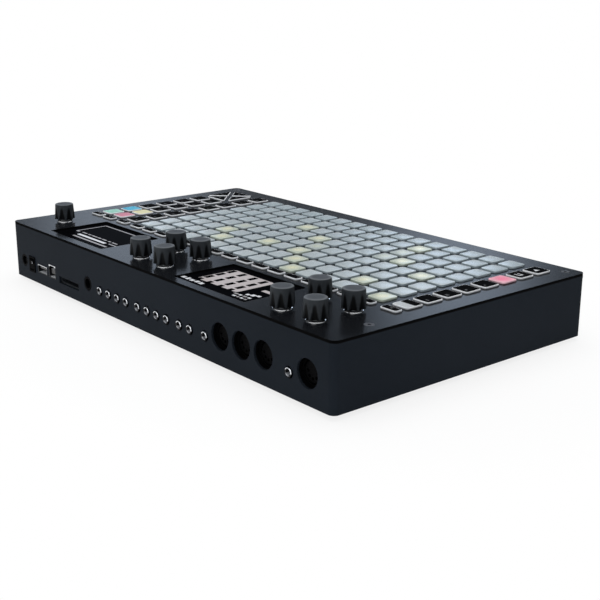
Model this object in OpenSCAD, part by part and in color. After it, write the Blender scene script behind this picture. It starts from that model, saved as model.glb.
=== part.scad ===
// Desktop grid sequencer: a shallow metal case under a flat face plate with a field of
// square pads, columns of keys, two recessed displays and nine push-and-turn knobs.
// Millimetres. +Z is up, the player sits at -Y and the sockets face +Y.
// The origin is under the middle of the part, on the surface that it stands on.

/* [Pads and keys] */
// Distance between neighbouring pads
pad_pitch = 15.5; // [14.5:0.1:17]
// Space between the sides of neighbouring pads
pad_gap = 3.1; // [2.8:0.1:4]
// Plan radius of the corners of a pad
pad_corner = 1.8; // [0.8:0.1:3]
// How much the two sharp corners of an arrow key are cut back
arrow_blunt = 1.6; // [1.2:0.1:3]
// How far pads and keys stand above the face plate
pad_proud = 1.1; // [0.6:0.1:2.5]
// Chamfer along the top edges of pads and keys
pad_chamfer = 0.35; // [0.15:0.05:0.6]
// Travel of a pad or key when it is pressed
key_travel = 1; // [0.5:0.1:1.5]
// Depth of the half keys above the pad columns
half_key_d = 5.8; // [4.5:0.1:8]
// Space between the pad field and the key columns beside it
block_gap = 6.6; // [5:0.1:10]
// Side clearance of a pad or key in its plate opening
key_clear = 0.3; // [0.2:0.05:0.5]
// Width of the lip that keeps a pad or key under the plate
lip_w = 0.9; // [0.6:0.1:1.1]
// Thickness of that lip
lip_t = 1; // [0.6:0.1:1.6]
// Radius of the contact stem under a pad or key
stem_r = 1.9; // [1.2:0.1:2.2]

/* [Face plate] */
// Thickness of the face plate
plate_t = 1.6; // [1.2:0.1:3]
// Plan radius of the corners of the case and the plate
corner_r = 4; // [2.5:0.1:8]
// From the case side to the left key column
left_edge = 13.5; // [11:0.1:25]
// From the right key column to the case side
right_edge = 15.1; // [12:0.1:25]
// From the front pads to the front of the case
front_edge = 15.4; // [14:0.1:25]
// From the rear of the case to the display windows
window_edge = 6.1; // [5:0.1:12]
// From the display windows to the half keys
window_gap = 4.7; // [3:0.1:10]
// Width of a display window
window_w = 68.6; // [50:0.1:90]
// Depth of a display window
window_d = 43.9; // [40:0.1:60]
// Corner radius of a display window
window_corner = 1; // [0.5:0.1:3]
// How far the display glass lies below the plate surface
window_recess = 1.2; // [0.3:0.1:1.4]
// Shank radius of a plate screw
screw_r = 1.5; // [1.2:0.1:2]
// Head radius of a plate screw
screw_head_r = 2.8; // [2.5:0.1:3.5]
// Length of a plate screw
screw_len = 6; // [4.5:0.1:6.5]
// From the case side to a plate screw
screw_side = 9.1; // [7:0.1:10]
// From the rear of the case to the rear screws
screw_rear = 31.7; // [25:0.1:60]
// From the front of the case to the front screws
screw_front = 7.6; // [7:0.1:9]

/* [Knobs] */
// Radius of a knob at its skirt
knob_r = 7; // [6.4:0.1:8]
// Radius of a knob at its top
knob_top_r = 6.3; // [5.4:0.1:7.5]
// Height of a knob
knob_h = 10.7; // [9:0.1:16]
// Rounding of the top edge of a knob
knob_edge_r = 0.6; // [0.3:0.1:1.5]
// Flutes around a knob
knob_flutes = 8; // [6:1:9]
// Depth of a flute at the skirt
flute_depth = 1.4; // [0.5:0.05:1.6]
// Radius of the cutter of a flute at the skirt
flute_r = 3; // [2:0.1:3.5]
// Plain band above the flutes
flute_top = 1.4; // [0.5:0.1:3]
// Gap from the face plate to a knob
knob_gap = 2; // [1.9:0.1:4]
// Push travel of a knob
knob_travel = 0.6; // [0.3:0.1:0.7]
// Spacing of the knobs across the case
knob_pitch_x = 26.9; // [20:0.1:35]
// Spacing of the knobs front to rear
knob_pitch_y = 26.3; // [20:0.1:35]
// From the case side to the first knob axis
knob_edge = 30.9; // [24:0.1:40]
// From the first knob group to the left window
knob_to_window = 21.8; // [18:0.1:40]
// From the left window to the second knob group
window_to_knob = 22.5; // [18:0.1:40]
// From the second knob group to the right window
group_to_window = 34.6; // [18:0.1:50]
// From the right window to the single knob
window_to_single = 20.3; // [18:0.1:40]
// From the single knob to the case side
single_edge = 24.9; // [20:0.1:40]
// Radius of the encoder shaft
shaft_r = 3; // [2.5:0.1:3.5]
// Wall of the threaded bush around the shaft
bush_wall = 0.55; // [0.4:0.05:1]
// Side of the square encoder body
encoder_w = 12; // [11.5:0.1:14]
// Thickness of the encoder nut
nut_t = 1.2; // [0.8:0.1:1.3]
// Width of the encoder nut across its flats
nut_af = 9; // [8.2:0.1:11]
// Running clearance around the shaft
shaft_clear = 0.06; // [0.03:0.01:0.1]

/* [Case] */
// Thickness of the folded case sheet
wall_t = 1.5; // [1:0.1:2.5]
// Height of the rubber feet
foot_h = 3; // [1.5:0.1:8]
// Radius of a rubber foot
foot_r = 8; // [5:0.1:12]
// From the case sides to the centre of a foot
foot_inset = 20; // [14:0.5:40]
// Height of the spacers under the main board
spacer_h = 4; // [3:0.1:8]
// Radius of the board spacers
spacer_r = 2.5; // [2:0.1:3]
// Thickness of the circuit boards
board_t = 1.6; // [1:0.1:2.4]
// Space between the boards and the case walls
board_gap = 2.5; // [1.5:0.1:6]
// Front to rear size of the main board
main_board_d = 62; // [45:0.5:90]
// Free height over the tallest socket
socket_headroom = 1.9; // [0.5:0.1:10]
// Height of the keypad mat
mat_t = 4.4; // [3:0.1:8]

/* [Rear sockets] */
// Width of a DIN socket body
din_w = 17.6; // [17:0.1:22]
// Height of a DIN socket body
din_h = 20; // [18:0.1:24]
// Radius of the case opening of a DIN socket
din_hole_r = 8.1; // [7.4:0.1:8.3]
// Depth of a DIN socket body
din_d = 12; // [11:0.1:18]
// How far the pin face of a DIN socket lies inside the rear wall
din_face_back = 3.8; // [2.5:0.1:6]
// Width of a small jack body
jack_w = 9.6; // [8:0.1:12]
// Height of a small jack body
jack_h = 13.4; // [9:0.1:16]
// Depth of a small jack body
jack_d = 11; // [10:0.1:16]
// Plug bore radius of a small jack
jack_bore_r = 1.8; // [1.7:0.05:2]
// Wall of the metal sleeve of a small jack
jack_sleeve_wall = 0.9; // [0.7:0.05:1.1]
// How far that sleeve stands out of the case
jack_proud = 0.9; // [0.5:0.1:1.3]
// Width of the pedal jack body
pedal_w = 15.6; // [12:0.1:20]
// Height of the pedal jack body
pedal_h = 16.4; // [12:0.1:18]
// Depth of the pedal jack body
pedal_d = 24; // [18:0.1:32]
// Plug bore radius of the pedal jack
pedal_bore_r = 3.25; // [3.2:0.05:3.4]
// How much the openings of the jacks widen through the rear wall
hole_flare = 0.3; // [0.1:0.05:0.5]
// Width of the card slot body
card_w = 28.6; // [27.5:0.1:32]
// Depth of the card slot body
card_d = 29; // [26:0.1:34]
// Height of the card slot body
card_h = 5; // [4.8:0.1:8]
// Width of a memory card opening
card_open_w = 24.6; // [24.2:0.1:25.4]
// Height of a memory card opening
card_open_h = 2.6; // [2.3:0.1:3.2]
// Width of the square USB port
usb_b_w = 9.4; // [9.3:0.1:12]
// Height of the square USB port
usb_b_h = 8.9; // [8.7:0.1:12]
// Depth of the square USB port
usb_b_d = 16; // [14:0.1:20]
// Width of the flat USB port
usb_a_w = 13.1; // [12.8:0.1:14]
// Height of the flat USB port
usb_a_h = 5.7; // [5.5:0.1:6.5]
// Depth of the flat USB port
usb_a_d = 14; // [12:0.1:20]
// Width of the power inlet body
inlet_w = 9; // [8.8:0.1:11]
// Height of the power inlet body
inlet_h = 11.8; // [9:0.1:14]
// Depth of the power inlet body
inlet_d = 13.5; // [12:0.1:18]
// Radius of the power plug opening
inlet_bore_r = 3.1; // [2.8:0.05:3.3]
// Width of the rocker switch opening in the case
switch_w = 7.8; // [7:0.1:12]
// Height of the rocker switch opening in the case
switch_h = 10.2; // [9.6:0.1:14]
// Height of the switch centre over the case bottom
switch_z = 12.3; // [9:0.1:20]
// Depth of the switch body behind the case wall
switch_d = 9; // [7:0.1:14]
// Turn of the rocker from off to on, in degrees
rocker_turn = 14; // [8:1:20]
// Clearance of a socket in its case opening
socket_clear = 0.2; // [0.1:0.05:0.4]

/* [Rear socket spacing] */
// From the case side to the first DIN socket
din_edge = 10.9; // [7:0.1:20]
// Between a DIN socket and the jack beside it
din_to_jack = 0.85; // [0.6:0.05:6]
// From the first jack to the three DIN sockets
jack_to_din = 7.8; // [3:0.1:15]
// Between neighbouring DIN sockets
din_gap = 1.7; // [0.6:0.1:5]
// Between the jacks of one group
jack_gap = 1.05; // [0.6:0.05:3]
// From the fourth socket's jack to the pair of jacks
single_to_pair = 5.4; // [2:0.1:12]
// Between the groups of jacks
jack_group_gap = 3.9; // [2:0.1:12]
// From the jacks to the pedal jack
jack_to_pedal = 3.1; // [1:0.1:10]
// From the pedal jack to the card slot
pedal_to_card = 4; // [1.5:0.1:10]
// From the card slot to the square USB port
card_to_usb = 4.2; // [1.5:0.1:10]
// Between the two USB ports
usb_gap = 3.3; // [1.5:0.1:8]
// From the USB ports to the switch
usb_to_switch = 4.2; // [2.5:0.1:10]
// From the switch to the power inlet
switch_to_inlet = 3.6; // [2.5:0.1:10]
// From the power inlet to the case side
inlet_edge = 10.2; // [7:0.1:20]

/* [Hidden] */
$fn = 64;
columns = 16;
rows = 8;
knob_count = 9;
pad_size = pad_pitch - pad_gap;

// Small fits: room for a moving lip, for a contact at full travel and for a seated piece.
lip_gap = 0.3;
contact_gap = 0.2;
seat_gap = 0.1;
cut = 1;

// Heights, built up from the surface that the part stands on.
floor_z = foot_h + wall_t;
main_z = floor_z + spacer_h;
deck_z = main_z + board_t;
control_z = deck_z + din_h + socket_headroom;
key_z = control_z + board_t;
plate_z = key_z + mat_t + contact_gap + key_travel + lip_t + lip_gap;
top_z = plate_z + plate_t;
lip_z = plate_z - lip_gap - lip_t;
stem_z = key_z + key_travel + contact_gap;

// Offsets across the case, from its left side.
left_key_o = left_edge + pad_size / 2;
pad_o = left_key_o + pad_size + block_gap;
right_a_o = pad_o + (columns - 1) * pad_pitch + pad_size + block_gap;
right_b_o = right_a_o + pad_size + block_gap;
right_c_o = right_b_o + pad_pitch;
field_w = right_c_o + pad_size / 2 + right_edge;

window_1_o = knob_edge + knob_pitch_x + knob_to_window + window_w / 2;
group_2_o = window_1_o + window_w / 2 + window_to_knob;
window_2_o = group_2_o + knob_pitch_x + group_to_window + window_w / 2;
single_o = window_2_o + window_w / 2 + window_to_single;
strip_w = single_o + single_edge;

jack_pitch = jack_w + jack_gap;
din_pitch = din_w + din_gap;
din_1_o = din_edge + din_w / 2;
jack_1_o = din_1_o + din_w / 2 + din_to_jack + jack_w / 2;
din_2_o = jack_1_o + jack_w / 2 + jack_to_din + din_w / 2;
jack_2_o = din_2_o + 2 * din_pitch + din_w / 2 + din_to_jack + jack_w / 2;
jack_3_o = jack_2_o + jack_w + single_to_pair;
jack_5_o = jack_3_o + jack_pitch + jack_w + jack_group_gap;
jack_9_o = jack_5_o + 3 * jack_pitch + jack_w + jack_group_gap;
pedal_o = jack_9_o + 3 * jack_pitch + jack_w / 2 + jack_to_pedal + pedal_w / 2;
card_o = pedal_o + pedal_w / 2 + pedal_to_card + card_w / 2;
usb_b_o = card_o + card_w / 2 + card_to_usb + usb_b_w / 2;
usb_a_o = usb_b_o + usb_b_w / 2 + usb_gap + usb_a_w / 2;
switch_o = usb_a_o + usb_a_w / 2 + usb_to_switch + switch_w / 2;
inlet_o = switch_o + switch_w / 2 + switch_to_inlet + inlet_w / 2;
rear_w = inlet_o + inlet_w / 2 + inlet_edge;

// The case is as wide as its widest row of parts, and as deep as the rows need.
case_w = max(field_w, strip_w, rear_w);
window_back = window_edge + window_d / 2;
half_key_back = window_edge + window_d + window_gap + half_key_d / 2;
row_back = half_key_back + half_key_d / 2 + pad_gap + pad_size / 2;
case_d = row_back + (rows - 1) * pad_pitch + pad_size / 2 + front_edge;

// Rocker: it turns inside its own circle, and its raised end stands out of the case.
// The end is where its sloping face meets that circle.
rocker_bezel = 0.6;
rocker_gap = 0.3;
rocker_pin_r = 0.8;
switch_skin = 0.6;
rocker_r = switch_h / 2 - socket_clear - switch_skin - rocker_gap;
rocker_w = switch_w - 2 * (socket_clear + switch_skin + rocker_gap);
rocker_face = rocker_r / 2;
rocker_slope = tan(rocker_turn / 2);
slope_sq = 1 + rocker_slope ^ 2;
end_x = (sqrt(rocker_r ^ 2 * slope_sq - rocker_face ^ 2) - rocker_face * rocker_slope) / slope_sq;
end_y = rocker_face + rocker_slope * end_x;
rocker_rise = rocker_r * sin(atan2(end_y, end_x) + rocker_turn / 2) - rocker_face;
rear_proud = max(jack_proud, rocker_bezel + rocker_rise);

// The case sits forward by half of what stands out of its rear wall.
left_x = -case_w / 2;
rear_y = case_d / 2 - rear_proud / 2;
front_y = rear_y - case_d;
inner_y = rear_y - wall_t;

function col_x(c) = left_x + pad_o + c * pad_pitch;
function row_y(r) = rear_y - row_back - r * pad_pitch;
half_key_y = rear_y - half_key_back;
window_y = rear_y - window_back;
window_x = [left_x + window_1_o, left_x + window_2_o];

left_key_x = left_x + left_key_o;
right_key_x = [left_x + right_a_o, left_x + right_b_o, left_x + right_c_o];
arrow_x = (right_key_x[1] + right_key_x[2]) / 2;
arrow_y = (row_y(rows - 2) + row_y(rows - 1)) / 2;
arrow_w = pad_pitch + pad_size;
arrow_stem = arrow_w / 2 - 2 * stem_r;

function knob_group(x) = [
    for (s = [1, -1]) for (c = [0, 1])
        [x + c * knob_pitch_x, window_y + s * knob_pitch_y / 2]
];
knob_at = concat(
    knob_group(left_x + knob_edge),
    knob_group(left_x + group_2_o),
    [[left_x + single_o, window_y]]
);

// Sockets along the rear wall.
din_x = [left_x + din_1_o, for (k = [0:2]) left_x + din_2_o + k * din_pitch];
jack_x = [
    left_x + jack_1_o,
    left_x + jack_2_o,
    for (k = [0, 1]) left_x + jack_3_o + k * jack_pitch,
    for (k = [0:3]) left_x + jack_5_o + k * jack_pitch,
    for (k = [0:3]) left_x + jack_9_o + k * jack_pitch
];
pedal_x = left_x + pedal_o;
card_x = left_x + card_o;
usb_b_x = left_x + usb_b_o;
usb_a_x = left_x + usb_a_o;
switch_x = left_x + switch_o;
inlet_x = left_x + inlet_o;

din_z = deck_z + din_h / 2;
jack_z = deck_z + jack_h / 2;
pedal_z = deck_z + pedal_h / 2;
card_z = deck_z + card_h / 2;
usb_base = 1.2;
usb_b_z = deck_z + usb_base + usb_b_h / 2;
usb_a_z = deck_z + usb_base + usb_a_h / 2;
inlet_z = deck_z + inlet_h / 2;
switch_mid_z = foot_h + switch_z;

// Round noses in the rear wall, and the chamfers at the mouth of a plug bore.
flare = 0.4;
sleeve_rim = 0.2;
nose_wall = 1.1;
jack_ring_gap = 0.4;
card_rim = 1.1;
jack_back = 1;
jack_sleeve_r = jack_bore_r + jack_sleeve_wall;
pedal_nose_r = pedal_bore_r + nose_wall;
inlet_nose_r = inlet_bore_r + nose_wall;

// Encoder: bush, cavity, rotor and shaft heights.
bush_reach = 1.4;
encoder_wall = 1.2;
encoder_floor = 1;
rotor_t = 1.4;
rotor_gap = 0.3;
push_room = 0.6;
recess_gap = 0.9;
knob_roof = 2.3;
knob_z = top_z + knob_gap;
bush_r = shaft_r + shaft_clear + bush_wall;
bush_top = knob_z + bush_reach;
encoder_top = plate_z - seat_gap;
cavity_r = encoder_w / 2 - encoder_wall;
cavity_z = key_z + encoder_floor;
rotor_r = cavity_r - rotor_gap;
rotor_z = cavity_z + push_room + knob_travel + rotor_gap;
cavity_top = rotor_z + rotor_t + rotor_gap;
shaft_z = rotor_z - rotor_gap;
shaft_flat = shaft_r / 2;
round_z = rotor_z + rotor_t + knob_travel + rotor_gap;
recess_r = bush_r + recess_gap;
recess_top = bush_top + knob_travel + recess_gap;
shaft_top = knob_z + knob_h - knob_roof;

// Boards.
board_x = case_w / 2 - wall_t - board_gap;
board_front = front_y + wall_t + board_gap;
board_rear = inner_y - board_gap;
main_rear = inner_y - seat_gap;
mat_edge = 1.2;
spacer_x = [
    left_x + knob_edge + knob_pitch_x + knob_to_window / 2,
    left_x + (window_1_o + window_w / 2 + group_2_o) / 2,
    left_x + group_2_o + knob_pitch_x + group_to_window / 2,
    left_x + (window_2_o + window_w / 2 + single_o) / 2
];
spacer_front_y = board_front + 2 * spacer_r;
screw_at = [
    for (s = [-1, 1]) for (y = [rear_y - screw_rear, front_y + screw_front])
        [s * (case_w / 2 - screw_side), y]
];
tab_w = 2 * (screw_front - wall_t);
tab_rim = 0.6;
tab_reach = screw_side + screw_head_r + tab_rim;

pad_rows = [for (r = [1:rows]) str("pad_row_", r)];
knob_names = [for (k = [1:knob_count]) str("knob_", k)];
shaft_names = [for (k = [1:knob_count]) str("encoder_shaft_", k)];
rotor_names = [for (k = [1:knob_count]) str("encoder_rotor_", k)];

// Shared shapes

module round_rect(w, d, r) {
    square([w - 2 * r, d], center = true);
    square([w, d - 2 * r], center = true);
    for (x = [-1, 1]) for (y = [-1, 1])
        translate([x * (w / 2 - r), y * (d / 2 - r)]) circle(r);
}

module plate_of(w, d, r, h) {
    linear_extrude(h) round_rect(w, d, r);
}

// A shape along Y: from the rear wall inwards for a positive length.
module inward(length) {
    rotate([90, 0, 0]) linear_extrude(length) children();
}

// Trapezium profile that chamfers the top edges of a key along one axis.
module key_profile(w, h) {
    polygon([
        [-w / 2, 0], [w / 2, 0],
        [w / 2, h - pad_chamfer], [w / 2 - pad_chamfer, h],
        [-w / 2 + pad_chamfer, h], [-w / 2, h - pad_chamfer]
    ]);
}

// A square or half key: chamfered cap, lip under the plate and contact stem.
module key(w, d) {
    cap_h = top_z + pad_proud - lip_z;
    translate([0, 0, lip_z]) intersection() {
        plate_of(w, d, pad_corner, cap_h);
        translate([0, d, 0]) inward(2 * d) key_profile(w, cap_h);
        translate([-w, 0, 0]) rotate([90, 0, 90]) linear_extrude(2 * w) key_profile(d, cap_h);
    }
    translate([0, 0, lip_z]) plate_of(w + 2 * lip_w, d + 2 * lip_w, pad_corner + lip_w, lip_t);
    translate([0, 0, stem_z]) cylinder(r = stem_r, h = lip_z + lip_t - stem_z);
}

module key_hole(w, d) {
    translate([0, 0, plate_z - cut])
        plate_of(w + 2 * key_clear, d + 2 * key_clear, pad_corner + key_clear, plate_t + 2 * cut);
}

// Quarter of a square, split along its diagonals, that points to +Y, with its sharp corners cut.
// Grow moves each side out.
module arrow_outline(grow) {
    half_corner = 45 / 2;
    half = arrow_w / 2 + grow;
    apex = (pad_gap / 2 - grow) * sqrt(2);
    tip = half - apex;
    leg = (arrow_blunt + grow / sin(half_corner) - grow) / cos(half_corner);
    slant = leg / sqrt(2);
    polygon([
        [0, apex], [tip - slant, half - slant], [tip - leg, half],
        [leg - tip, half], [slant - tip, half - slant]
    ]);
}

module arrow_key() {
    translate([0, 0, lip_z]) linear_extrude(top_z + pad_proud - pad_chamfer - lip_z) arrow_outline(0);
    translate([0, 0, lip_z]) linear_extrude(top_z + pad_proud - lip_z) arrow_outline(-pad_chamfer);
    translate([0, 0, lip_z]) linear_extrude(lip_t) arrow_outline(lip_w);
    translate([0, arrow_stem, stem_z]) cylinder(r = stem_r, h = lip_z + lip_t - stem_z);
}

// Places of the keys, in loops that the keys, the plate and the mat share.
module at_left_keys() {
    for (r = [0:rows - 1]) translate([left_key_x, row_y(r), 0]) children();
}

module at_half_keys() {
    for (c = [0:columns - 1]) translate([col_x(c), half_key_y, 0]) children();
}

module at_right_keys() {
    for (r = [0:rows - 1]) translate([right_key_x[0], row_y(r), 0]) children();
    for (c = [1, 2]) for (r = [0:rows - 3]) translate([right_key_x[c], row_y(r), 0]) children();
}

module at_right_half_keys() {
    for (x = right_key_x) translate([x, half_key_y, 0]) children();
}

module at_arrow_keys() {
    for (a = [0:3]) translate([arrow_x, arrow_y, 0]) rotate(90 * a) children();
}

module at_pads(r) {
    for (c = [0:columns - 1]) translate([col_x(c), row_y(r), 0]) children();
}

// Case, plate, feet and boards

module case_tray() {
    color("#22262a") difference() {
        union() {
            difference() {
                translate([0, (rear_y + front_y) / 2, foot_h])
                    plate_of(case_w, case_d, corner_r, plate_z - foot_h);
                translate([0, (rear_y + front_y) / 2, floor_z])
                    plate_of(case_w - 2 * wall_t, case_d - 2 * wall_t, corner_r - wall_t, plate_z);
            }
            for (p = screw_at) screw_tab(p);
        }
        for (p = screw_at) translate([p[0], p[1], plate_z - 2 * screw_len])
            cylinder(r = screw_r + seat_gap, h = 2 * screw_len + cut);
        rear_openings();
    }
}

// Tab folded in from a side wall, under the face plate, for one plate screw.
module screw_tab(p) {
    side = p[0] < 0 ? -1 : 1;
    inner = case_w / 2 - tab_reach;
    outer = case_w / 2 - wall_t / 2;
    translate([side * (inner + outer) / 2, p[1], plate_z - wall_t / 2])
        cube([outer - inner, tab_w, wall_t], center = true);
}

// Opening for a jack, with radius r at the inner face of the rear wall and wider outwards.
module flared_hole(r) {
    slope = hole_flare / wall_t;
    rotate([90, 0, 0])
        cylinder(r1 = r + hole_flare + slope * cut, r2 = r - slope * cut, h = wall_t + 2 * cut);
}

module rear_openings() {
    through = wall_t + 2 * cut;
    translate([0, rear_y + cut, 0]) {
        for (x = din_x) translate([x, 0, din_z]) inward(through) circle(din_hole_r);
        for (x = jack_x) translate([x, 0, jack_z]) flared_hole(jack_sleeve_r + jack_ring_gap);
        translate([pedal_x, 0, pedal_z]) flared_hole(pedal_nose_r + socket_clear);
        translate([inlet_x, 0, inlet_z]) inward(through) circle(inlet_nose_r + socket_clear);
        translate([card_x, 0, card_z])
            inward(through) square([card_open_w, card_open_h] + [1, 1] * 2 * card_rim, center = true);
        translate([usb_b_x, 0, usb_b_z])
            inward(through) square([usb_b_w, usb_b_h] + [1, 1] * 2 * socket_clear, center = true);
        translate([usb_a_x, 0, usb_a_z])
            inward(through) square([usb_a_w, usb_a_h] + [1, 1] * 2 * socket_clear, center = true);
        translate([switch_x, 0, switch_mid_z]) inward(through) square([switch_w, switch_h], center = true);
    }
}

module top_plate() {
    color("#3a3d42") difference() {
        translate([0, (rear_y + front_y) / 2, plate_z]) plate_of(case_w, case_d, corner_r, plate_t);
        for (r = [0:rows - 1]) at_pads(r) key_hole(pad_size, pad_size);
        at_left_keys() key_hole(pad_size, pad_size);
        translate([left_key_x, half_key_y, 0]) key_hole(pad_size, half_key_d);
        at_half_keys() key_hole(pad_size, half_key_d);
        at_right_keys() key_hole(pad_size, pad_size);
        at_right_half_keys() key_hole(pad_size, half_key_d);
        at_arrow_keys() translate([0, 0, plate_z - cut])
            linear_extrude(plate_t + 2 * cut) arrow_outline(key_clear);
        for (x = window_x) translate([x, window_y, plate_z - cut])
            plate_of(window_w, window_d, window_corner, plate_t + 2 * cut);
        for (p = knob_at) translate([p[0], p[1], plate_z - cut])
            cylinder(r = bush_r + seat_gap, h = plate_t + 2 * cut);
        for (p = screw_at) translate([p[0], p[1], 0]) {
            translate([0, 0, plate_z - cut]) cylinder(r = screw_r + seat_gap, h = plate_t + 2 * cut);
            translate([0, 0, top_z - screw_head_r + screw_r])
                cylinder(r1 = screw_r + seat_gap, r2 = screw_head_r + seat_gap, h = screw_head_r - screw_r);
        }
    }
}

module plate_screws() {
    head_h = screw_head_r - screw_r;
    socket_r = 3 / 4 * screw_r;
    color("#2b2d31") for (p = screw_at) translate([p[0], p[1], top_z]) difference() {
        union() {
            translate([0, 0, -head_h]) cylinder(r1 = screw_r, r2 = screw_head_r, h = head_h);
            translate([0, 0, -screw_len]) cylinder(r = screw_r, h = screw_len - head_h);
        }
        translate([0, 0, -head_h]) cylinder(r = socket_r, h = head_h + cut, $fn = 6);
    }
}

module rubber_feet() {
    x = case_w / 2 - foot_inset;
    rim = foot_h / 4;
    color("#17181a")
    for (sx = [-1, 1]) for (y = [front_y + foot_inset, rear_y - foot_inset])
        translate([sx * x, y, 0]) rotate_extrude()
            polygon([[0, 0], [foot_r - rim, 0], [foot_r, rim], [foot_r, foot_h], [0, foot_h]]);
}

module control_board() {
    color("#1d4030") translate([-board_x, board_front, control_z])
        cube([2 * board_x, board_rear - board_front, board_t]);
}

// Main board, with a notch under the switch, three chips and the link to the upper board.
module main_board() {
    chip_w = 14;
    chip_h = 1.2;
    chip_pitch = 56;
    link_w = 50;
    link_d = 5;
    link_inset = 2;
    notch_rim = 1;
    front = main_rear - main_board_d;
    notch_w = switch_w + 2 * notch_rim;
    notch_d = switch_d + 2 * notch_rim;
    color("#1d4030") difference() {
        union() {
            translate([-board_x, front, main_z]) cube([2 * board_x, main_board_d, board_t]);
            for (c = [-1:1]) translate([c * chip_pitch - chip_w / 2, front + chip_w, deck_z])
                cube([chip_w, chip_w, chip_h]);
            translate([-link_w / 2, front + link_inset, deck_z])
                cube([link_w, link_d, control_z - deck_z - seat_gap]);
        }
        translate([switch_x - notch_w / 2, main_rear - notch_d, main_z - cut])
            cube([notch_w, notch_d + cut, board_t + 2 * cut]);
    }
}

// Spacers: a lower set on the case floor and an upper set that hangs the control board.
module board_spacers() {
    inset = 2 * spacer_r;
    color("#b9bcc0") {
        for (x = [-board_x + inset, -board_x / 3, board_x / 3, board_x - inset])
            for (y = [main_rear - main_board_d + inset, main_rear - main_board_d / 2])
                translate([x, y, floor_z]) cylinder(r = spacer_r, h = spacer_h);
        for (x = spacer_x) for (y = [window_y, spacer_front_y])
            translate([x, y, key_z]) cylinder(r = spacer_r, h = plate_z - key_z);
    }
}

// One silicone mat on the control board, with a light well under every key.
module keypad_mat() {
    x0 = left_key_x - pad_size / 2 - mat_edge;
    x1 = right_key_x[2] + pad_size / 2 + mat_edge;
    y0 = row_y(rows - 1) - pad_size / 2 - mat_edge;
    y1 = half_key_y + half_key_d / 2 + mat_edge;
    well_gap = 0.6;
    well_r = stem_r + well_gap;
    color("#d9dde0") difference() {
        translate([x0, y0, key_z]) cube([x1 - x0, y1 - y0, mat_t]);
        translate([0, 0, key_z - cut]) {
            for (r = [0:rows - 1]) at_pads(r) cylinder(r = well_r, h = mat_t + 2 * cut);
            at_left_keys() cylinder(r = well_r, h = mat_t + 2 * cut);
            at_half_keys() cylinder(r = well_r, h = mat_t + 2 * cut);
            translate([left_key_x, half_key_y, 0]) cylinder(r = well_r, h = mat_t + 2 * cut);
            at_right_keys() cylinder(r = well_r, h = mat_t + 2 * cut);
            at_right_half_keys() cylinder(r = well_r, h = mat_t + 2 * cut);
            at_arrow_keys() translate([0, arrow_stem, 0]) cylinder(r = well_r, h = mat_t + 2 * cut);
        }
    }
}

// Each display: glass in its window, on a carrier that stands on pillars on the control board.
module display_modules() {
    carrier_rim = 3;
    carrier_t = 1.6;
    pillar_r = 1.5;
    carrier_top = plate_z - 2 * seat_gap;
    carrier_z = carrier_top - carrier_t;
    pillar_x = window_w / 2 + carrier_rim - 2 * pillar_r;
    pillar_y = window_d / 2 + carrier_rim - 2 * pillar_r;
    color("#0b0c0e") for (x = window_x) translate([x, window_y, 0]) {
        translate([0, 0, carrier_z])
            plate_of(
                window_w - 2 * seat_gap, window_d - 2 * seat_gap, window_corner,
                top_z - window_recess - carrier_z
            );
        translate([0, 0, carrier_z])
            plate_of(window_w + 2 * carrier_rim, window_d + 2 * carrier_rim, window_corner, carrier_t);
        for (sx = [-1, 1]) for (sy = [-1, 1])
            translate([sx * pillar_x, sy * pillar_y, key_z]) cylinder(r = pillar_r, h = carrier_z - key_z);
    }
}

// Keys and pads

module left_keys() {
    color("#dfe3e6") {
        at_left_keys() key(pad_size, pad_size);
        translate([left_key_x, half_key_y, 0]) key(pad_size, half_key_d);
    }
}

module top_keys() {
    color("#dfe3e6") at_half_keys() key(pad_size, half_key_d);
}

module right_keys() {
    color("#dfe3e6") {
        at_right_keys() key(pad_size, pad_size);
        at_right_half_keys() key(pad_size, half_key_d);
    }
}

module arrow_keys() {
    color("#dfe3e6") at_arrow_keys() arrow_key();
}

module pad_row(n) {
    color("#c4d0d4") at_pads(n - 1) key(pad_size, pad_size);
}

// Push-and-turn encoders

// Round shaft section with one flat on its +X side, grown by a clearance.
module d_section(clear) {
    intersection() {
        circle(shaft_r + clear);
        translate([-2 * shaft_r, -2 * shaft_r]) square([2 * shaft_r + shaft_flat + clear, 4 * shaft_r]);
    }
}

module encoder_bodies() {
    color("#8c9094") for (p = knob_at) translate([p[0], p[1], 0]) difference() {
        union() {
            translate([-encoder_w / 2, -encoder_w / 2, key_z])
                cube([encoder_w, encoder_w, encoder_top - key_z]);
            translate([0, 0, key_z]) cylinder(r = bush_r, h = bush_top - key_z);
        }
        translate([0, 0, cavity_z]) cylinder(r = cavity_r, h = cavity_top - cavity_z);
        translate([0, 0, cavity_z]) cylinder(r = shaft_r + shaft_clear, h = bush_top - cavity_z + cut);
    }
}

module encoder_nuts() {
    color("#d4d7da") for (p = knob_at) translate([p[0], p[1], top_z]) difference() {
        cylinder(r = nut_af / 2 / cos(30), h = nut_t, $fn = 6);
        translate([0, 0, -cut]) cylinder(r = bush_r + seat_gap / 2, h = nut_t + 2 * cut);
    }
}

module encoder_rotor(k) {
    p = knob_at[k - 1];
    color("#e6e2d6") translate([p[0], p[1], rotor_z]) linear_extrude(rotor_t) difference() {
        circle(rotor_r);
        d_section(shaft_clear);
    }
}

// Shaft: flat at both ends, for the rotor and the knob, and round through the bush.
module encoder_shaft(k) {
    p = knob_at[k - 1];
    color("#b4b7bb") translate([p[0], p[1], 0]) {
        translate([0, 0, shaft_z]) linear_extrude(shaft_top - shaft_z) d_section(0);
        translate([0, 0, round_z]) cylinder(r = shaft_r, h = bush_top + knob_travel - round_z);
    }
}

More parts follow.
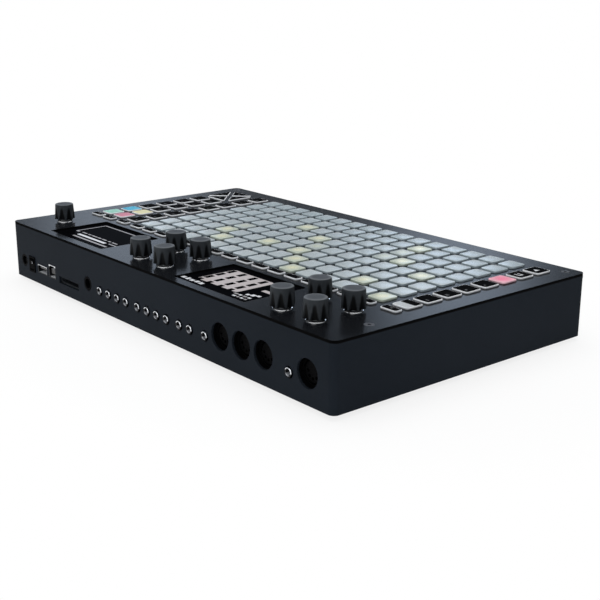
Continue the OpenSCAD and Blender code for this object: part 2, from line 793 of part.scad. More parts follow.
// Knob: tapered body with a rounded top edge, flutes that fade out upwards and a hollow foot.
module knob(k) {
    p = knob_at[k - 1];
    slope = (knob_r - knob_top_r) / knob_h;
    flute_h = knob_h - flute_top;
    flute_axis = knob_r - flute_depth + flute_r;
    fade_r = flute_axis - knob_r + slope * flute_h;
    color("#1b1d20") translate([p[0], p[1], knob_z]) difference() {
        rotate_extrude() {
            polygon([
                [0, 0], [knob_r, 0],
                [knob_top_r, knob_h - knob_edge_r], [knob_top_r - knob_edge_r, knob_h],
                [0, knob_h]
            ]);
            translate([knob_top_r - knob_edge_r, knob_h - knob_edge_r]) circle(knob_edge_r);
        }
        for (a = [0:knob_flutes - 1]) rotate(360 / knob_flutes * a) translate([flute_axis, 0, 0])
            cylinder(r1 = flute_r, r2 = fade_r, h = flute_h);
        translate([0, 0, -cut]) cylinder(r = recess_r, h = recess_top - knob_z + cut);
        translate([0, 0, -cut]) linear_extrude(shaft_top - knob_z + seat_gap + cut) d_section(shaft_clear);
    }
}

// Rear sockets: each stands on the main board and reaches into its opening in the rear wall

// Body block behind the wall, w wide, from the board up to h, with its depth d.
module socket_block(x, w, h, d) {
    translate([x - w / 2, inner_y - seat_gap - d, deck_z]) cube([w, d, h]);
}

// DIN socket: a round recess, with a groove for the shell of the plug and five pin holes.
module din_sockets() {
    core_r = 5.8;
    shell_r = 6.8;
    groove_d = 7;
    pin_circle_r = 3.75;
    pin_r = 0.9;
    color("#101113") for (x = din_x) difference() {
        socket_block(x, din_w, din_h, din_d);
        translate([x, rear_y, din_z]) {
            inward(din_face_back) circle(din_hole_r);
            inward(din_face_back + groove_d) difference() {
                circle(shell_r);
                circle(core_r);
            }
            for (a = [0:45:180]) rotate([0, a, 0]) translate([pin_circle_r, 0, 0])
                inward(din_face_back + groove_d) circle(pin_r);
        }
    }
}

module minijack_bodies() {
    color("#141517") for (x = jack_x) difference() {
        socket_block(x, jack_w, jack_h, jack_d);
        translate([x, rear_y, jack_z])
            inward(wall_t + jack_d - jack_back) circle(jack_sleeve_r + shaft_clear);
    }
}

// Sleeve: a metal tube that stands out of the rear wall, with chamfers at its mouth.
module minijack_sleeves() {
    length = jack_proud + wall_t + jack_d - 2 * jack_back;
    color("#cfd2d5") for (x = jack_x) translate([x, rear_y + jack_proud, jack_z]) rotate([90, 0, 0])
        rotate_extrude() polygon([
            [jack_bore_r + flare, 0], [jack_sleeve_r - sleeve_rim, 0], [jack_sleeve_r, sleeve_rim],
            [jack_sleeve_r, length], [jack_bore_r, length], [jack_bore_r, flare]
        ]);
}

module pedal_jack() {
    back_t = 2;
    bore_d = pedal_d - back_t;
    color("#101113") difference() {
        union() {
            socket_block(pedal_x, pedal_w, pedal_h, pedal_d);
            translate([pedal_x, rear_y, pedal_z]) inward(pedal_d / 2) circle(pedal_nose_r);
        }
        translate([pedal_x, rear_y + cut, pedal_z]) inward(bore_d + cut) circle(pedal_bore_r);
        translate([pedal_x, rear_y, pedal_z]) rotate([90, 0, 0])
            cylinder(r1 = pedal_bore_r + flare / 2, r2 = pedal_bore_r, h = flare / 2);
    }
}

module dc_inlet() {
    pin_r = 1;
    bore_d = 9.5;
    pin_back = 1;
    color("#101113") {
        difference() {
            union() {
                socket_block(inlet_x, inlet_w, inlet_h, inlet_d);
                translate([inlet_x, rear_y, inlet_z]) inward(inlet_d / 2) circle(inlet_nose_r);
            }
            translate([inlet_x, rear_y + cut, inlet_z]) inward(bore_d + cut) circle(inlet_bore_r);
        }
        translate([inlet_x, rear_y - pin_back, inlet_z]) inward(bore_d) circle(pin_r);
    }
}

// Flat USB port: a thin metal shell on a base, with a tongue near its top.
module usb_host_port() {
    shell_t = 0.4;
    tongue_t = 1.8;
    tongue_side = 1;
    tongue_back = 1;
    back_t = 3;
    mouth_d = usb_a_d - back_t;
    color("#c9ccd0") {
        socket_block(usb_a_x, usb_a_w, usb_base, usb_a_d);
        difference() {
            translate([usb_a_x, rear_y, usb_a_z])
                inward(usb_a_d + wall_t) square([usb_a_w, usb_a_h], center = true);
            translate([usb_a_x, rear_y + cut, usb_a_z])
                inward(mouth_d + cut) square([usb_a_w, usb_a_h] - [1, 1] * 2 * shell_t, center = true);
        }
        translate([usb_a_x, rear_y - tongue_back, usb_a_z + usb_a_h / 4 - shell_t / 2])
            inward(mouth_d) square([usb_a_w - 2 * shell_t - 2 * tongue_side, tongue_t], center = true);
    }
}

// Square USB port: its mouth has the two bevelled upper corners, round a central block.
module usb_device_port() {
    mouth_w = 8.5;
    mouth_h = 8;
    bevel = 1.6;
    block_w = 5.6;
    block_h = 3.2;
    block_back = 1;
    back_t = 5;
    mouth_d = usb_b_d - back_t;
    color("#c9ccd0") {
        socket_block(usb_b_x, usb_b_w, usb_base, usb_b_d);
        difference() {
            translate([usb_b_x, rear_y, usb_b_z])
                inward(usb_b_d + wall_t) square([usb_b_w, usb_b_h], center = true);
            translate([usb_b_x, rear_y + cut, usb_b_z]) inward(mouth_d + cut) polygon([
                [-mouth_w / 2, -mouth_h / 2], [mouth_w / 2, -mouth_h / 2],
                [mouth_w / 2, mouth_h / 2 - bevel], [mouth_w / 2 - bevel, mouth_h / 2],
                [bevel - mouth_w / 2, mouth_h / 2], [-mouth_w / 2, mouth_h / 2 - bevel]
            ]);
        }
        translate([usb_b_x, rear_y - block_back, usb_b_z])
            inward(mouth_d) square([block_w, block_h], center = true);
    }
}

module card_slot() {
    back_t = 2;
    slot_d = card_d - back_t;
    color("#6d7176") difference() {
        socket_block(card_x, card_w, card_h, card_d);
        translate([card_x, inner_y, card_z])
            inward(slot_d) square([card_open_w, card_open_h], center = true);
    }
}

// Switch: bezel on the case wall, body through it, open at the front for the rocker.
module switch_body() {
    rim = 0.4;
    body_w = switch_w - 2 * socket_clear;
    body_h = switch_h - 2 * socket_clear;
    pocket_w = body_w - 2 * switch_skin;
    color("#0f1012") {
        difference() {
            union() {
                translate([switch_x, rear_y + rocker_bezel, switch_mid_z])
                    inward(rocker_bezel) square([switch_w + 2 * rim, switch_h + 2 * rim], center = true);
                translate([switch_x, rear_y + rocker_bezel / 2, switch_mid_z])
                    inward(wall_t + switch_d) square([body_w, body_h], center = true);
            }
            translate([switch_x, rear_y + rocker_bezel + cut, switch_mid_z])
                inward(rocker_bezel + cut + 2 * rocker_r)
                square([pocket_w, 2 * (rocker_r + rocker_gap)], center = true);
            rocker_axis() cylinder(r = rocker_pin_r + rocker_gap / 2, h = switch_w, center = true);
        }
    }
}

// Children turned so that their Z runs along the rocker's pivot.
module rocker_axis() {
    translate([switch_x, rear_y + rocker_bezel - rocker_face, switch_mid_z]) rotate([0, 90, 0]) children();
}

// Rocker: a shallow V face inside a circle about the pivot, with its lower half pressed in.
module power_rocker() {
    pin_w = rocker_w + 2 * switch_skin;
    edge = rocker_face + rocker_r * rocker_slope;
    color("#1a1b1e") rocker_axis() {
        rotate(-rocker_turn / 2) linear_extrude(rocker_w, center = true) intersection() {
            circle(rocker_r);
            polygon([
                [-rocker_r, -rocker_face], [rocker_r, -rocker_face],
                [rocker_r, edge], [0, rocker_face], [-rocker_r, edge]
            ]);
        }
        cylinder(r = rocker_pin_r, h = pin_w, center = true);
    }
}

case_tray();
top_plate();
plate_screws();
rubber_feet();
control_board();
main_board();
board_spacers();
keypad_mat();
display_modules();
encoder_bodies();
encoder_nuts();
din_sockets();
minijack_bodies();
minijack_sleeves();
pedal_jack();
dc_inlet();
switch_body();
power_rocker();
usb_host_port();
usb_device_port();
card_slot();
left_keys();
top_keys();
right_keys();
arrow_keys();
for (r = [1:rows]) pad_row(r);
for (k = [1:knob_count]) knob(k);
for (k = [1:knob_count]) encoder_shaft(k);
for (k = [1:knob_count]) encoder_rotor(k);
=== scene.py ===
import math

import bmesh
import bpy
from mathutils import Matrix, Vector


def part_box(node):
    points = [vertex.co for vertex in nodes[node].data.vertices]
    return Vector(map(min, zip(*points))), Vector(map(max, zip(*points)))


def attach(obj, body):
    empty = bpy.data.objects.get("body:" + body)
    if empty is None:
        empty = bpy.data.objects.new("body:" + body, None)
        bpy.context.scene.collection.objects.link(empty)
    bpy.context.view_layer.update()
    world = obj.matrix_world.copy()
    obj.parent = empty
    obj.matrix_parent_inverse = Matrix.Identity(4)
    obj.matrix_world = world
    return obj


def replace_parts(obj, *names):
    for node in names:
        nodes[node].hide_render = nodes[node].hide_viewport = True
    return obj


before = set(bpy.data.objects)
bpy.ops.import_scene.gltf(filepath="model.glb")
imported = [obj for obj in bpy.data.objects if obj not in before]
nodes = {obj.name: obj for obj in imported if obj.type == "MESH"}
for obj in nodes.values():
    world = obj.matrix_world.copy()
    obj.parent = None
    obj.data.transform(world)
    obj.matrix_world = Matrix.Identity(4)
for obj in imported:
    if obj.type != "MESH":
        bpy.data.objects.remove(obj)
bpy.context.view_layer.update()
scene = bpy.context.scene
MM = 0.001

# Sizes that the part's solids share. Lengths are in millimetres unless a comment says otherwise.
PAD = 12.4
HALF_KEY = 5.8
KEY_H = 4.0
CORNER = 1.8
LIP = 0.9
LIP_T = 1.0
EDGE = 0.35
GAP = 3.1
ARROW_CORNER = 1.0
WINDOW_W = 68.6
CARRIER_RIM = 3.0
BEZEL = 0.6
ROCKER_FACE = 2.0
ROCKER_TURN = math.radians(14)

# Counts of what repeats, and the first of the two rows beside the arrow keys, counted from 0.
ROWS = 8
COLUMNS = 16
KNOBS = 9
FLUTES = 8
ARROW_ROW = 6

# Thin layers: paint, how far it sinks into a key, marks, light on the glass, and the rim that paint leaves.
PAINT = 0.03
PAINT_SUNK = 0.02
MARK = 0.05
PIXEL = 0.03
RIM = 0.5


def box_mm(node):
    low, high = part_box(node)
    return low / MM, high / MM


# Places of the pads and keys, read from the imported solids. The first row is the rear one.
rows_y = []
for r in range(ROWS):
    low, high = box_mm("pad_row_%d" % (r + 1))
    rows_y.append((low.y + high.y) / 2)
low, high = box_mm("pad_row_1")
col_0 = low.x + LIP + PAD / 2
pitch = (high.x - low.x - 2 * LIP - PAD) / (COLUMNS - 1)
cols_x = [col_0 + pitch * c for c in range(COLUMNS)]
key_top = high.z
lip_z = key_top - KEY_H
low, high = box_mm("left_keys")
left_x = (low.x + high.x) / 2
half_y = high.y - LIP - HALF_KEY / 2
low, high = box_mm("right_keys")
right_x = [low.x + LIP + PAD / 2, high.x - LIP - PAD / 2 - pitch, high.x - LIP - PAD / 2]
arrow_x = (right_x[1] + right_x[2]) / 2
arrow_y = (rows_y[ARROW_ROW] + rows_y[ARROW_ROW + 1]) / 2
arrow_w = pitch + PAD
rear_y = box_mm("top_plate")[1].y
plate_top = box_mm("top_plate")[1].z


# Helpers for materials

def new_material(name):
    m = bpy.data.materials.new(name)
    m.use_nodes = True
    tree = m.node_tree
    shader = tree.nodes["Principled BSDF"]
    return m, tree, shader


def set_or_link(tree, socket, value):
    if isinstance(value, (int, float)):
        socket.default_value = value
    elif isinstance(value, tuple):
        socket.default_value = (*value, 1)
    else:
        tree.links.new(value, socket)


def shade(tone, share):
    return tuple(share * v for v in tone)


def maths(tree, operation, a, b=0.0, c=0.0):
    node = tree.nodes.new("ShaderNodeMath")
    node.operation = operation
    for socket, value in zip(node.inputs, (a, b, c)):
        set_or_link(tree, socket, value)
    return node.outputs[0]


def length(tree, a, b):
    """The length of a flat vector with the parts a and b."""
    square = maths(tree, "ADD", maths(tree, "MULTIPLY", a, a), maths(tree, "MULTIPLY", b, b))
    return maths(tree, "SQRT", square)


def place(tree):
    """The x, y and z of a point in the part's frame, in metres."""
    coords = tree.nodes.new("ShaderNodeTexCoord")
    parts = tree.nodes.new("ShaderNodeSeparateXYZ")
    tree.links.new(coords.outputs["Object"], parts.inputs["Vector"])
    return parts.outputs


def noise(tree, scale, detail=3.0, stretch=None):
    coords = tree.nodes.new("ShaderNodeTexCoord")
    tex = tree.nodes.new("ShaderNodeTexNoise")
    tex.inputs["Scale"].default_value = scale
    tex.inputs["Detail"].default_value = detail
    if stretch:
        mapping = tree.nodes.new("ShaderNodeMapping")
        mapping.inputs["Scale"].default_value = stretch
        tree.links.new(coords.outputs["Object"], mapping.inputs["Vector"])
        tree.links.new(mapping.outputs["Vector"], tex.inputs["Vector"])
    else:
        tree.links.new(coords.outputs["Object"], tex.inputs["Vector"])
    return tex.outputs["Fac"]


def ramp(tree, value, low, high, at=(0.3, 0.7)):
    node = tree.nodes.new("ShaderNodeValToRGB")
    node.color_ramp.elements[0].position = at[0]
    node.color_ramp.elements[1].position = at[1]
    node.color_ramp.elements[0].color = (*low, 1)
    node.color_ramp.elements[1].color = (*high, 1)
    tree.links.new(value, node.inputs["Fac"])
    return node.outputs["Color"]


def remap(tree, value, low, high, start=0.3, end=0.7, smooth=False):
    """Runs from low to high while the value runs from start to end, and stays there beyond."""
    node = tree.nodes.new("ShaderNodeMapRange")
    if smooth:
        node.interpolation_type = "SMOOTHSTEP"
    node.inputs["From Min"].default_value = start
    node.inputs["From Max"].default_value = end
    node.inputs["To Min"].default_value = low
    node.inputs["To Max"].default_value = high
    tree.links.new(value, node.inputs["Value"])
    return node.outputs["Result"]


def mix_colour(tree, fac, a, b):
    node = tree.nodes.new("ShaderNodeMix")
    node.data_type = "RGBA"
    tree.links.new(fac, node.inputs["Factor"])
    sockets = [s for s in node.inputs if s.type == "RGBA"]
    for socket, value in zip(sockets, (a, b)):
        set_or_link(tree, socket, value)
    return [s for s in node.outputs if s.type == "RGBA"][0]


def bump(tree, shader, height, depth, strength=0.5, bevel=0.0):
    """Relief of the given depth, over edges softened by the bevel's radius."""
    node = tree.nodes.new("ShaderNodeBump")
    node.inputs["Distance"].default_value = depth * MM
    node.inputs["Strength"].default_value = strength
    tree.links.new(height, node.inputs["Height"])
    if bevel:
        soft = tree.nodes.new("ShaderNodeBevel")
        soft.samples = 4
        soft.inputs["Radius"].default_value = bevel * MM
        tree.links.new(soft.outputs["Normal"], node.inputs["Normal"])
    tree.links.new(node.outputs["Normal"], shader.inputs["Normal"])


def facing_up(tree, low=0.6, high=0.9):
    """0 on walls and 1 on faces that look up."""
    geometry = tree.nodes.new("ShaderNodeNewGeometry")
    parts = tree.nodes.new("ShaderNodeSeparateXYZ")
    tree.links.new(geometry.outputs["True Normal"], parts.inputs["Vector"])
    return remap(tree, parts.outputs["Z"], 0.0, 1.0, low, high)


# Materials

def surface(name, dark, light, rough, grain, depth, specular=0.5, metal=0.0, cloud=60.0,
            stretch=None, bevel=0.0):
    """Colour that drifts between two tones, roughness that varies, and a fine grain in relief."""
    m, tree, shader = new_material(name)
    drift = noise(tree, cloud, 4.0)
    fine = noise(tree, grain, 3.0, stretch)
    tree.links.new(ramp(tree, drift, dark, light), shader.inputs["Base Color"])
    tree.links.new(remap(tree, fine, *rough), shader.inputs["Roughness"])
    shader.inputs["Metallic"].default_value = metal
    shader.inputs["Specular IOR Level"].default_value = specular
    bump(tree, shader, fine, depth, bevel=bevel)
    return m


def from_middle(tree, x0, y0):
    """Distance from the middle of a key, in metres, on the grid of keys through x0, y0."""
    parts = place(tree)
    offsets = []
    for value, middle in ((parts["X"], x0), (parts["Y"], y0)):
        wrapped = maths(tree, "WRAP", value, (middle + pitch / 2) * MM, (middle - pitch / 2) * MM)
        offsets.append(maths(tree, "SUBTRACT", wrapped, middle * MM))
    return length(tree, *offsets)


# Silicone: shine and roughness of keys and pads, the share of clouds in a pad's drift, the shades of specks,
# the painted light on pad walls and the painted shade at key feet against the first tone, the height of that
# shade, and how far from the middle of a key the light under it is still full and where it ends.
KEY_SHINE, KEY_ROUGH = 0.3, (0.42, 0.62)
PAD_SHINE, PAD_ROUGH = 0.52, (0.21, 0.29)
PAD_CLOUD = 0.15
SPECK_SHADE = 0.7
PAD_WALL_PAINTED_LIGHT = 1.15
FOOT_PAINTED_SHADE = 0.15
SHADED_FOOT_H = 0.6
GLOW_FULL, GLOW_END = 0.8, 6.2


def silicone(name, tone, other, middle=None, grid_x=0.0, glow=0.0, pad=False):
    """Milky silicone with specks, which may be lit from under its middle.

    A pad has painted light: it grows paler from its first tone in the front row to the other in the rear row,
    and its walls are painted lighter, in one shade.
    A key is clouded with both tones and has painted shade at its foot.
    """
    m, tree, shader = new_material(name)
    speck = noise(tree, 2600.0, 2.0)
    cloud = noise(tree, 38.0, 2.0)
    parts = place(tree)
    if pad:
        # Painted light: the pads grow paler towards the rear row.
        along = remap(tree, parts["Y"], 0.1, 0.9, rows_y[-1] * MM, rows_y[0] * MM)
        drift = maths(tree, "ADD", along, remap(tree, cloud, -PAD_CLOUD, PAD_CLOUD))
        body = ramp(tree, drift, tone, other, (0.0, 1.0))
    else:
        body = ramp(tree, cloud, tone, other, (0.4, 0.6))
    if middle:
        away = from_middle(tree, grid_x, rows_y[0])
        near = remap(tree, away, 1.0, 0.0, GLOW_FULL * MM, GLOW_END * MM, True)
        body = mix_colour(tree, near, body, middle)
        shader.inputs["Emission Color"].default_value = (*middle, 1)
        tree.links.new(maths(tree, "MULTIPLY", near, glow), shader.inputs["Emission Strength"])
    body = mix_colour(tree, remap(tree, speck, 0.0, 0.3), body, shade(tone, SPECK_SHADE))
    if pad:
        # Painted light: the walls are lighter than the top.
        body = mix_colour(tree, facing_up(tree, 0.1, 0.6), shade(tone, PAD_WALL_PAINTED_LIGHT), body)
    else:
        # Painted shade: a key is darker at its foot, just over the plate.
        over_painted_shade = remap(tree, parts["Z"], 0.0, 1.0, plate_top * MM, (plate_top + SHADED_FOOT_H) * MM, True)
        body = mix_colour(tree, over_painted_shade, shade(tone, FOOT_PAINTED_SHADE), body)
    tree.links.new(body, shader.inputs["Base Color"])
    rough = remap(tree, speck, *(PAD_ROUGH if pad else KEY_ROUGH))
    tree.links.new(rough, shader.inputs["Roughness"])
    shader.inputs["Specular IOR Level"].default_value = PAD_SHINE if pad else KEY_SHINE
    shader.inputs["Subsurface Weight"].default_value = 0.25
    shader.inputs["Subsurface Radius"].default_value = (1.0, 1.0, 1.0)
    shader.inputs["Subsurface Scale"].default_value = 0.9 * MM
    bump(tree, shader, speck, 0.02)
    return m


def plate_material():
    """Satin face with black, dull side edges."""
    m, tree, shader = new_material("plate_satin")
    drift = noise(tree, 25.0, 4.0)
    fine = noise(tree, 4200.0, 3.0)
    up = facing_up(tree)
    face = ramp(tree, drift, (0.0044, 0.0052, 0.0066), (0.0062, 0.007, 0.0086))
    edge = (0.0006, 0.0006, 0.0007)
    tree.links.new(mix_colour(tree, up, edge, face), shader.inputs["Base Color"])
    satin = remap(tree, fine, 0.2, 0.27)
    dull = maths(tree, "MULTIPLY", maths(tree, "SUBTRACT", 1.0, up), 0.75)
    tree.links.new(maths(tree, "ADD", satin, dull), shader.inputs["Roughness"])
    shader.inputs["Specular IOR Level"].default_value = 0.075
    bump(tree, shader, fine, 0.006, 0.4, 0.3)
    return m


# Painted shade in the flutes: half its width in radians at the knob's foot and where it is narrowest, its
# soft edge in radians, and how far below the top it is narrowest, begins to fade and is gone. Then the radii
# between which the top turns into a painted highlight on its rim.
FLUTE_WIDE, FLUTE_NARROW = 0.33, 0.1
FLUTE_SOFT_IN, FLUTE_SOFT_OUT = -0.1, 0.07
NARROW_DEPTH, FADE_DEPTH, GONE_DEPTH = 2.0, 4.2, 1.5
TOP_HIGHLIGHT_IN, TOP_HIGHLIGHT_OUT = 3.8, 6.0


def knob_material(k):
    """Soft black: painted shade in flutes that narrow upwards between lighter ribs, and a grey top with a
    painted highlight on its rim.
    """
    m, tree, shader = new_material("knob_black_%d" % k)
    low, high = box_mm("knob_%d" % k)
    parts = place(tree)
    dx = maths(tree, "SUBTRACT", parts["X"], (low.x + high.x) / 2 * MM)
    dy = maths(tree, "SUBTRACT", parts["Y"], (low.y + high.y) / 2 * MM)
    turn = maths(tree, "WRAP", maths(tree, "ARCTAN2", dy, dx), math.pi / FLUTES, -math.pi / FLUTES)
    aside = maths(tree, "ABSOLUTE", turn)
    narrowest = (high.z - NARROW_DEPTH) * MM
    wide = remap(tree, parts["Z"], FLUTE_WIDE, FLUTE_NARROW, low.z * MM, narrowest)
    beside = maths(tree, "SUBTRACT", aside, wide)
    # Painted shade in the flutes, narrowing upwards and fading out below the top.
    groove_shade = remap(tree, beside, 1.0, 0.0, FLUTE_SOFT_IN, FLUTE_SOFT_OUT, True)
    fade_from, fade_to = (high.z - FADE_DEPTH) * MM, (high.z - GONE_DEPTH) * MM
    fade = remap(tree, parts["Z"], 1.0, 0.0, fade_from, fade_to, True)
    flute_shade = maths(tree, "MULTIPLY", groove_shade, fade)
    drift = noise(tree, 300.0, 3.0)
    fine = noise(tree, 4200.0, 2.0)
    rib = ramp(tree, drift, (0.029, 0.034, 0.039), (0.04, 0.0455, 0.051))
    wall = mix_colour(tree, flute_shade, rib, (0.0026, 0.0031, 0.0036))
    middle = ramp(tree, drift, (0.046, 0.052, 0.059), (0.058, 0.065, 0.073))
    # Painted highlight on the rim of the top.
    rim = remap(tree, length(tree, dx, dy), 0.0, 1.0, TOP_HIGHLIGHT_IN * MM, TOP_HIGHLIGHT_OUT * MM, True)
    top = mix_colour(tree, rim, middle, (0.11, 0.12, 0.13))
    tree.links.new(mix_colour(tree, facing_up(tree), wall, top), shader.inputs["Base Color"])
    tree.links.new(remap(tree, fine, 0.42, 0.56), shader.inputs["Roughness"])
    shader.inputs["Specular IOR Level"].default_value = 0.12
    bump(tree, shader, fine, 0.015, 0.5, 0.3)
    return m


# Ports: how far in from the top and the bottom the painted highlight on the edge is full and where it ends,
# how deep the rim reaches behind its face, which is flush with the rear plane, and half of the soft change to
# the inside.
PORT_HIGHLIGHT_FULL, PORT_HIGHLIGHT_END = 0.6, 1.4
PORT_RIM = 0.3
PORT_SOFT = 0.1


def port_material(name, node):
    """Metal rim with a painted highlight at its top and bottom and painted shade at its sides; inside,
    painted shade on all but the floor.
    """
    m, tree, shader = new_material(name)
    low, high = box_mm(node)
    fine = noise(tree, 2800.0, 3.0, (1, 8, 1))
    steel = ramp(tree, noise(tree, 260.0, 3.0), (0.68, 0.7, 0.73), (0.82, 0.84, 0.87))
    # Painted shade: inside, every face but the floor is dark.
    inside = mix_colour(tree, facing_up(tree), (0.003, 0.003, 0.004), steel)
    parts = place(tree)
    # Painted highlight along the top and bottom of the rim, painted shade at its sides.
    upper_highlight = remap(tree, parts["Z"], 0.0, 1.0, (high.z - PORT_HIGHLIGHT_END) * MM, (high.z - PORT_HIGHLIGHT_FULL) * MM, True)
    lower_highlight = remap(tree, parts["Z"], 1.0, 0.0, (low.z + PORT_HIGHLIGHT_FULL) * MM, (low.z + PORT_HIGHLIGHT_END) * MM, True)
    edge = mix_colour(tree, maths(tree, "MAXIMUM", upper_highlight, lower_highlight), (0.03, 0.031, 0.034), steel)
    rim_y = rear_y - PORT_RIM
    rim = remap(tree, parts["Y"], 0.0, 1.0, (rim_y - PORT_SOFT) * MM, (rim_y + PORT_SOFT) * MM)
    tree.links.new(mix_colour(tree, rim, inside, edge), shader.inputs["Base Color"])
    tree.links.new(remap(tree, fine, 0.22, 0.36), shader.inputs["Roughness"])
    tree.links.new(rim, shader.inputs["Metallic"])
    bump(tree, shader, fine, 0.008)
    return m


# Jack sleeves: the gap that parts two of them, the reach of one around its axis, the radii between which
# the bore gives way to the ring, and the direction of the painted highlight.
SLEEVE_GAP = 1.2
SLEEVE_REACH = 3.5
BORE_R, RING_R = 2.05, 2.15
HIGHLIGHT_X, HIGHLIGHT_Z = -0.34, 0.94


def sleeve_axes():
    """The x of each jack in metres, from the gaps between the sleeves' points."""
    xs = sorted(v.co.x for v in nodes["minijack_sleeves"].data.vertices)
    groups = [[xs[0], xs[0]]]
    for x in xs:
        if x - groups[-1][1] > SLEEVE_GAP * MM:
            groups.append([x, x])
        groups[-1][1] = x
    return [(first + last) / 2 for first, last in groups]


def sleeve_material():
    """Plated rings with a painted highlight on their upper outer half and painted shade on the rest; in the
    bore a painted grey highlight faces it.
    """
    m, tree, shader = new_material("sleeve_bright")
    fine = noise(tree, 3500.0, 3.0, (1, 6, 1))
    plated = ramp(tree, noise(tree, 300.0, 3.0), (0.76, 0.78, 0.81), (0.88, 0.9, 0.93))
    low, high = box_mm("minijack_sleeves")
    parts = place(tree)
    dz = maths(tree, "SUBTRACT", parts["Z"], (low.z + high.z) / 2 * MM)
    dx = 0.0
    for x in sleeve_axes():
        near = maths(tree, "COMPARE", parts["X"], x, SLEEVE_REACH * MM)
        dx = maths(tree, "MULTIPLY_ADD", near, maths(tree, "SUBTRACT", parts["X"], x), dx)
    radius = length(tree, dx, dz)
    along = maths(tree, "MULTIPLY_ADD", dz, HIGHLIGHT_Z, maths(tree, "MULTIPLY", dx, HIGHLIGHT_X))
    side = maths(tree, "DIVIDE", along, radius)
    # Painted highlight on the upper outer side of each ring, painted shade on the rest, and a painted
    # highlight in the bore.
    highlight_arc = remap(tree, side, 0.0, 1.0, 0.05, 0.35, True)
    ring = mix_colour(tree, highlight_arc, (0.012, 0.0125, 0.014), plated)
    spot = remap(tree, side, 1.0, 0.0, -0.95, -0.5, True)
    bore = mix_colour(tree, spot, (0.004, 0.004, 0.005), (0.4, 0.41, 0.44))
    outer = remap(tree, radius, 0.0, 1.0, BORE_R * MM, RING_R * MM)
    tree.links.new(mix_colour(tree, outer, bore, ring), shader.inputs["Base Color"])
    tree.links.new(remap(tree, fine, 0.12, 0.24), shader.inputs["Roughness"])
    tree.links.new(outer, shader.inputs["Metallic"])
    bump(tree, shader, fine, 0.006)
    return m


def screen_material(name, colour, strength):
    """A lit screen element, with faint pixel rows."""
    m, tree, shader = new_material(name)
    coords = tree.nodes.new("ShaderNodeTexCoord")
    wave = tree.nodes.new("ShaderNodeTexWave")
    wave.bands_direction = "Y"
    wave.inputs["Scale"].default_value = 450.0
    tree.links.new(coords.outputs["Object"], wave.inputs["Vector"])
    lines = wave.outputs["Fac"]
    tone = ramp(tree, lines, shade(colour, 0.8), colour, (0.1, 0.9))
    tree.links.new(tone, shader.inputs["Emission Color"])
    base = mix_colour(tree, lines, (0.01, 0.01, 0.012), (0.02, 0.02, 0.022))
    tree.links.new(base, shader.inputs["Base Color"])
    shader.inputs["Emission Strength"].default_value = strength
    shader.inputs["Roughness"].default_value = 0.3
    shader.inputs["Specular IOR Level"].default_value = 0.1
    return m


# Each surface gives two tones, the range of its roughness, the scale of its grain and the grain's depth.
case_paint = surface("case_paint", (0.0134, 0.0174, 0.0233), (0.016, 0.0204, 0.0269), (0.42, 0.55), 3800.0,
                     0.012, specular=0.02, cloud=14.0, bevel=0.3)
plate_satin = plate_material()
screw_black = surface("screw_black", (0.05, 0.051, 0.056), (0.09, 0.092, 0.1), (0.3, 0.45), 5000.0, 0.01,
                      specular=0.2, metal=0.5, cloud=400.0)
foot_rubber = surface("foot_rubber", (0.006, 0.006, 0.0065), (0.011, 0.011, 0.012), (0.7, 0.9), 2500.0, 0.03,
                      specular=0.25, cloud=90.0)
board_green = surface("board_green", (0.008, 0.035, 0.018), (0.014, 0.055, 0.03), (0.35, 0.5), 1500.0, 0.01,
                      cloud=200.0)
spacer_metal = surface("spacer_metal", (0.42, 0.43, 0.45), (0.55, 0.56, 0.58), (0.3, 0.45), 2500.0, 0.01,
                       metal=1.0, stretch=(1, 1, 8))
mat_silicone = surface("mat_silicone", (0.4, 0.43, 0.45), (0.5, 0.52, 0.54), (0.5, 0.65), 2600.0, 0.02,
                       specular=0.3, cloud=50.0)
display_glass = surface("display_glass", (0.0014, 0.0015, 0.002), (0.002, 0.0022, 0.003), (0.07, 0.11), 900.0,
                        0.0005, specular=0.0002, cloud=40.0)
encoder_steel = surface("encoder_steel", (0.32, 0.33, 0.34), (0.45, 0.46, 0.47), (0.3, 0.45), 3000.0, 0.01,
                        metal=1.0)
nut_bright = surface("nut_bright", (0.09, 0.092, 0.096), (0.15, 0.152, 0.158), (0.08, 0.15), 3500.0, 0.003,
                     metal=1.0, stretch=(1, 1, 6))
washer_bright = surface("washer_bright", (0.78, 0.79, 0.8), (0.9, 0.91, 0.92), (0.12, 0.2), 3500.0, 0.004,
                        metal=1.0, stretch=(1, 1, 6))
socket_black = surface("socket_black", (0.0015, 0.0015, 0.0018), (0.003, 0.003, 0.0034), (0.5, 0.65), 2800.0,
                       0.015, specular=0.03, cloud=220.0)
sleeve_bright = sleeve_material()
switch_black = surface("switch_black", (0.0016, 0.0016, 0.0018), (0.0026, 0.0026, 0.003), (0.4, 0.55), 3200.0,
                       0.01, specular=0.01, cloud=300.0, bevel=0.2)
port_steel_a = port_material("port_steel_a", "usb_host_port")
port_steel_b = port_material("port_steel_b", "usb_device_port")
card_steel = surface("card_steel", (0.02, 0.023, 0.027), (0.03, 0.034, 0.038), (0.45, 0.6), 2200.0, 0.01,
                     specular=0.1, cloud=150.0)
shaft_steel = surface("shaft_steel", (0.5, 0.51, 0.53), (0.62, 0.63, 0.65), (0.22, 0.35), 3000.0, 0.008,
                      metal=1.0, stretch=(1, 1, 8))
rotor_plastic = surface("rotor_plastic", (0.66, 0.63, 0.54), (0.74, 0.71, 0.62), (0.4, 0.55), 2000.0, 0.01)
paint_black = surface("paint_black", (0.0009, 0.0009, 0.001), (0.0016, 0.0016, 0.0018), (0.5, 0.65), 2600.0,
                      0.008, specular=0.005, cloud=250.0)
